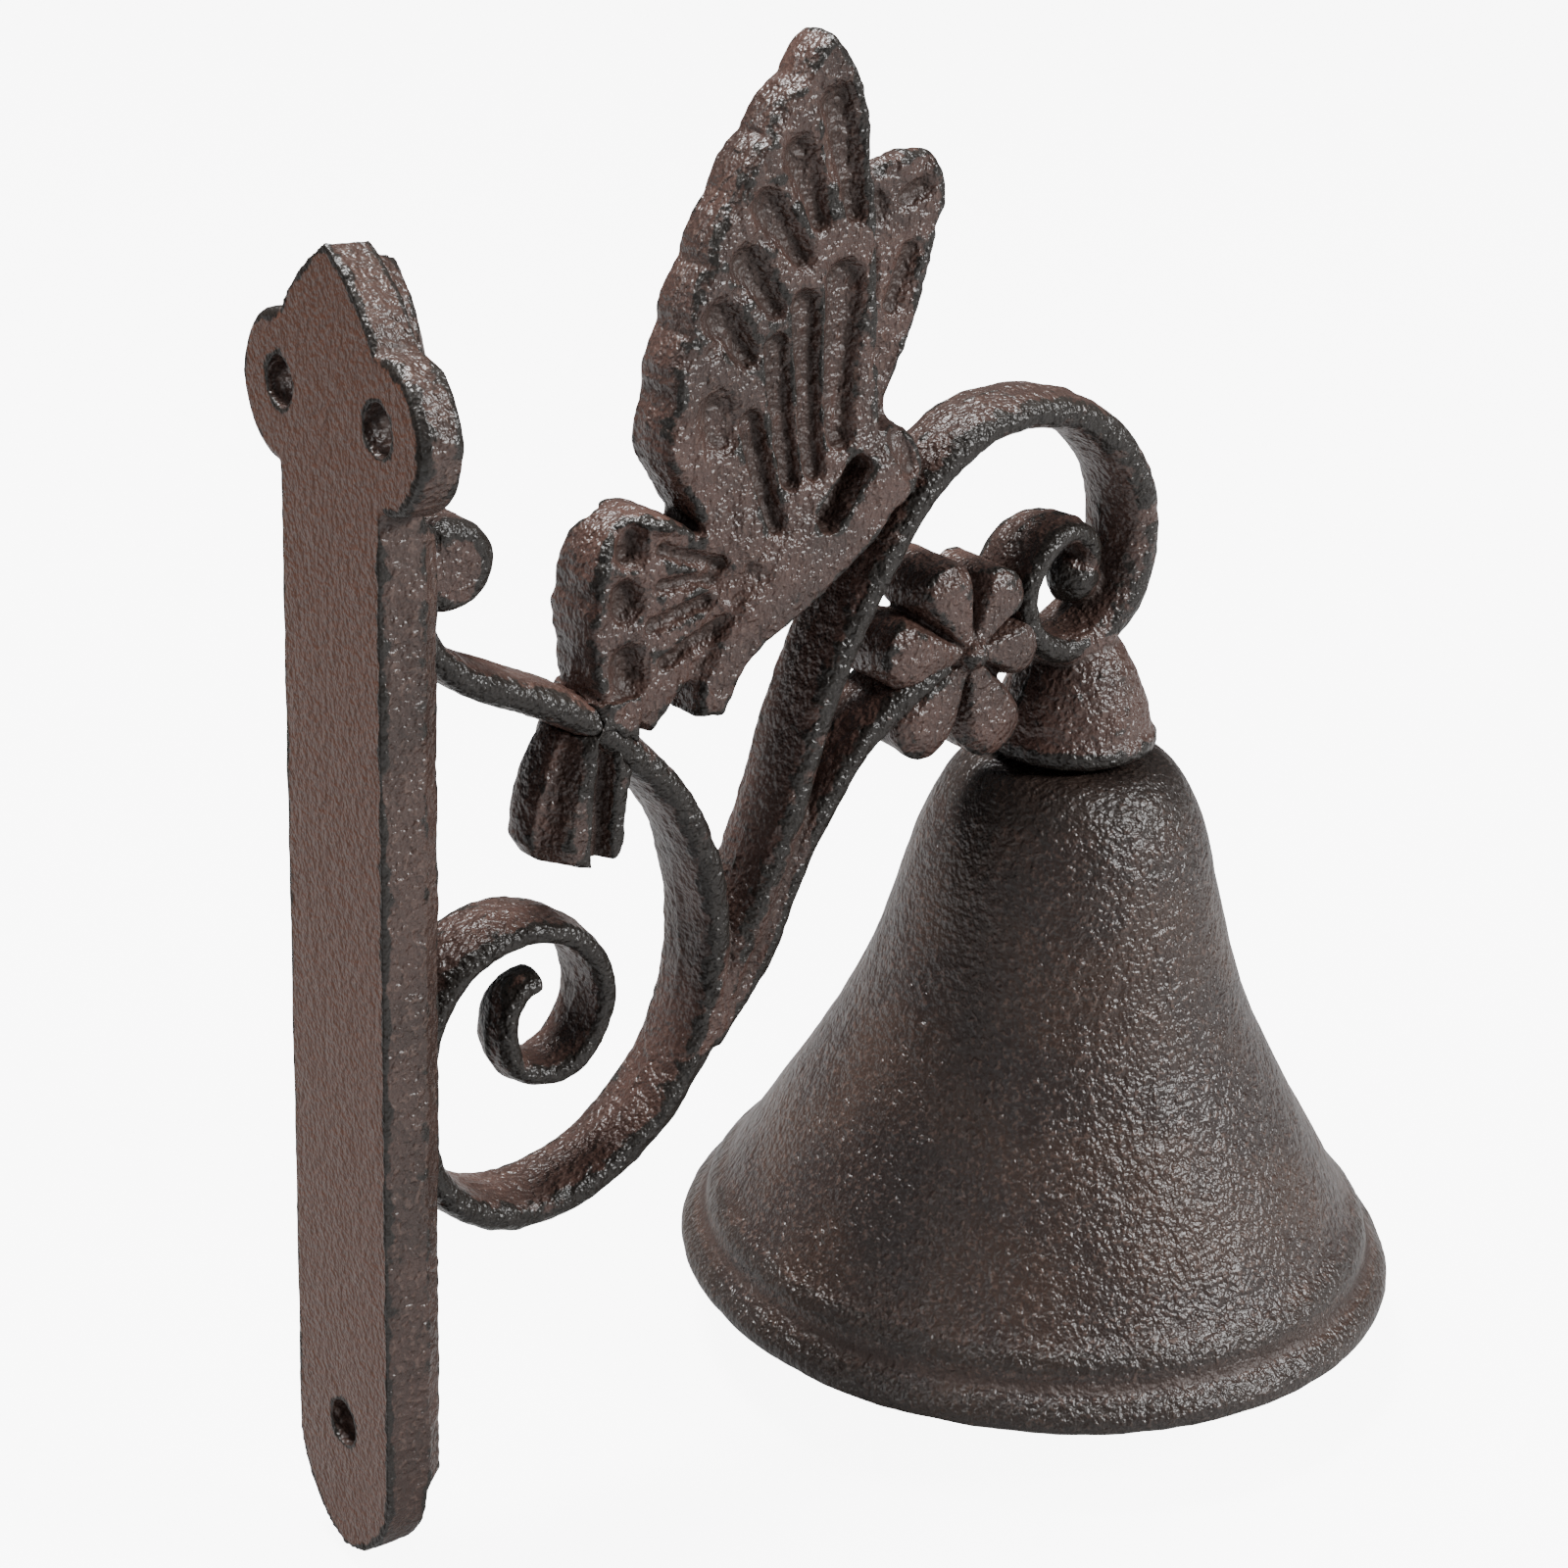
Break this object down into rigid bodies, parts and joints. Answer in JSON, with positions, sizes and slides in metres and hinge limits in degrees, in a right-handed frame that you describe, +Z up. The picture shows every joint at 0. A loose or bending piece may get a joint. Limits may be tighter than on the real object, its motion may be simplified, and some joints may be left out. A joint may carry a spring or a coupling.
{
  "type": "wall mounted bell",
  "caption": "Cast iron bell with a chain-hung clapper under a scrolled wall bracket decorated with a butterfly and a flower.",
  "frame": {"origin": "on the plate's wall face, midway between the two upper screw holes", "axes": "+X out from the wall towards the bell, +Z up, bracket symmetric about the plane y = 0"},
  "size_m": [0.1603, 0.0996, 0.1839],
  "materials": {
    "bracket_iron": "rust-brown painted sand casting",
    "bell_iron": "dark brown painted sand casting",
    "clapper_iron": "bare dark casting",
    "hardware_steel": "dull oxidised steel"
  },
  "bodies": {
    "bracket": {"wall_plate": "bracket_iron", "wall_scroll": "bracket_iron", "bell_arm": "bracket_iron", "flower_stem": "bracket_iron", "hanger_boss": "bracket_iron", "flower": "bracket_iron", "butterfly_body": "bracket_iron", "butterfly_hindwing": "bracket_iron", "butterfly_tail": "bracket_iron", "butterfly_forewing": "bracket_iron", "butterfly_rear_forewing": "bracket_iron", "hanger_eye_bolt": "hardware_steel", "bell_washer": "hardware_steel", "hanger_nut": "hardware_steel"},
    "bell": {"bell": "bell_iron"},
    "clapper_link": {"clapper_link": "hardware_steel"},
    "clapper": {"clapper_rod": "hardware_steel", "clapper_ball": "clapper_iron"}
  },
  "joints": [
    {"name": "bell_turn", "type": "hinge", "parent": "bracket", "child": "bell", "pos_m": [0.1105, 0, -0.064], "axis": [0, 0, 1], "continuous": true},
    {"name": "link_swing", "type": "hinge", "parent": "bracket", "child": "clapper_link", "pos_m": [0.1105, 0, -0.08345], "axis": [1, 0, 0], "range_deg": [-24, 24]},
    {"name": "clapper_swing", "type": "hinge", "parent": "clapper_link", "child": "clapper", "pos_m": [0.1105, 0, -0.09545], "axis": [0, 1, 0], "range_deg": [-30, 30]}
  ]
}
